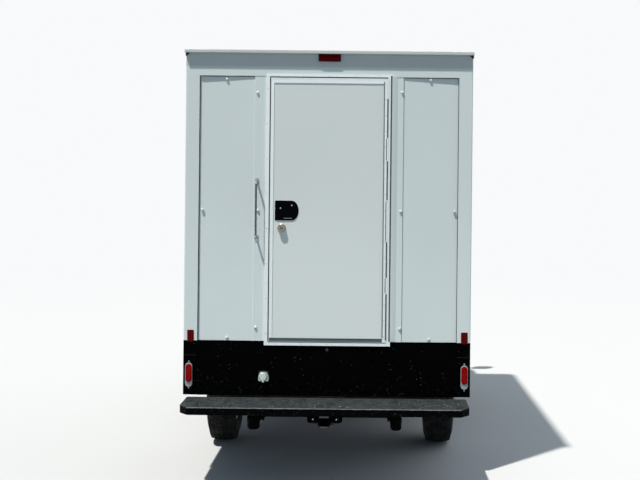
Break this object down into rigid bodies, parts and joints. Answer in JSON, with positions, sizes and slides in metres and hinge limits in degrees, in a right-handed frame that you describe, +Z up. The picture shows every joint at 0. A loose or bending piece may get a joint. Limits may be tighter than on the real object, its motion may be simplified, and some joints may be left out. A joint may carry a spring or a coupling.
{
  "type": "box truck",
  "caption": "Narrow walk-in box truck: bonneted van cab, plain panel box with a hinged rear door, rear step and receiver hitch; wheels roll and steer, doors and hood open.",
  "frame": {"origin": "on the ground, midway between the rear step's lip and the front bumper's face, on the centre plane", "axes": "+X to the vehicle's right side, +Y forward, +Z up"},
  "size_m": [2.52, 5.703, 2.9999],
  "materials": {
    "white_paint": "satin",
    "black_paint": "satin",
    "frame_black": "matte",
    "cast_dark": "matte",
    "spring_steel": "matte",
    "engine_grey": "matte",
    "tank_steel": "satin",
    "exhaust_steel": "matte",
    "bare_aluminium": "satin",
    "polished_steel": "polished",
    "zinc": "satin",
    "rim_steel": "satin",
    "tyre_rubber": "matte",
    "black_plastic": "matte",
    "dash_plastic": "matte",
    "seat_cloth": "matte",
    "deck_wood": "matte",
    "clear_glass": "polished",
    "lamp_clear": "polished",
    "lamp_red": "gloss"
  },
  "bodies": {
    "hood": {"hood": "white_paint"},
    "rear_door": {"rear_door": "white_paint", "rear_door_hinge": "polished_steel", "rear_door_latch": "black_plastic"},
    "tie_rod": {"tie_rod": "cast_dark"},
    "cab_door_left": {"cab_door_left": "white_paint", "door_glass_left": "clear_glass", "mirror_left": "black_plastic"},
    "knuckle_left": {"knuckle_left": "cast_dark"},
    "wheel_front_left": {"tyre_front_left": "tyre_rubber", "rim_front_left": "rim_steel"},
    "wheel_rear_left": {"tyre_rear_left": "tyre_rubber", "rim_rear_left": "rim_steel"},
    "cab_door_right": {"cab_door_right": "white_paint", "door_glass_right": "clear_glass", "mirror_right": "black_plastic"},
    "knuckle_right": {"knuckle_right": "cast_dark"},
    "wheel_front_right": {"tyre_front_right": "tyre_rubber", "rim_front_right": "rim_steel"},
    "wheel_rear_right": {"tyre_rear_right": "tyre_rubber", "rim_rear_right": "rim_steel"},
    "chassis": {"box_floor": "deck_wood", "box_front_wall": "white_paint", "box_roof": "white_paint", "box_skirts": "black_paint", "box_walls": "white_paint", "cab_floor": "black_plastic", "cab_shell": "white_paint", "crossmembers": "frame_black", "dashboard": "dash_plastic", "door_jamb": "bare_aluminium", "driveshaft": "cast_dark", "engine": "engine_grey", "exhaust": "exhaust_steel", "fenders": "white_paint", "floor_runners": "frame_black", "floor_sills": "frame_black", "frame_rails": "frame_black", "front_axle": "cast_dark", "front_bumper": "polished_steel", "fuel_tank": "tank_steel", "grab_handle": "polished_steel", "grille": "black_plastic", "headlamps": "lamp_clear", "hitch": "frame_black", "hitch_brackets": "frame_black", "radiator": "bare_aluminium", "rear_apron": "black_paint", "rear_axle": "cast_dark", "rear_frame": "white_paint", "rear_lamps": "lamp_red", "rear_panels": "white_paint", "seats": "seat_cloth", "springs_front": "spring_steel", "springs_rear": "spring_steel", "steering_wheel": "black_plastic", "step_bumper": "black_paint", "trailer_socket": "zinc", "wheel_liners": "black_plastic", "windscreen": "clear_glass"}
  },
  "joints": [
    {"name": "steer_left", "type": "hinge", "parent": "chassis", "child": "knuckle_left", "pos_m": [-0.748, 2.0115, 0.372], "axis": [0, 0, 1], "range_deg": [-35, 35]},
    {"name": "spin_front_left", "type": "hinge", "parent": "knuckle_left", "child": "wheel_front_left", "pos_m": [-0.881, 2.0115, 0.372], "axis": [-1, 0, 0], "continuous": true},
    {"name": "spin_rear_left", "type": "hinge", "parent": "chassis", "child": "wheel_rear_left", "pos_m": [-0.853, -1.4935, 0.372], "axis": [-1, 0, 0], "continuous": true},
    {"name": "cab_door_left_swing", "type": "hinge", "parent": "chassis", "child": "cab_door_left", "pos_m": [-1.013, 1.5245, 0.9], "axis": [0, 0, -1], "range_deg": [0, 65]},
    {"name": "steer_right", "type": "hinge", "parent": "chassis", "child": "knuckle_right", "pos_m": [0.748, 2.0115, 0.372], "axis": [0, 0, 1], "range_deg": [-35, 35]},
    {"name": "spin_front_right", "type": "hinge", "parent": "knuckle_right", "child": "wheel_front_right", "pos_m": [0.881, 2.0115, 0.372], "axis": [-1, 0, 0], "continuous": true},
    {"name": "spin_rear_right", "type": "hinge", "parent": "chassis", "child": "wheel_rear_right", "pos_m": [0.853, -1.4935, 0.372], "axis": [-1, 0, 0], "continuous": true},
    {"name": "cab_door_right_swing", "type": "hinge", "parent": "chassis", "child": "cab_door_right", "pos_m": [1.013, 1.5245, 0.9], "axis": [0, 0, 1], "range_deg": [0, 65]},
    {"name": "tie_rod_pivot", "type": "hinge", "parent": "knuckle_left", "child": "tie_rod", "pos_m": [-0.748, 1.8915, 0.268], "axis": [0, 0, 1], "range_deg": [-35, 35]},
    {"name": "hood_lift", "type": "hinge", "parent": "chassis", "child": "hood", "pos_m": [0, 1.7005, 1.298], "axis": [1, 0, 0], "range_deg": [0, 55]},
    {"name": "rear_door_swing", "type": "hinge", "parent": "chassis", "child": "rear_door", "pos_m": [0.4155, -2.5275, 1.875], "axis": [0, 0, 1], "range_deg": [0, 110]}
  ],
  "couplings": [
    {"joint": "steer_right", "follows": "steer_left", "ratio": 1},
    {"joint": "tie_rod_pivot", "follows": "steer_left", "ratio": -1}
  ]
}
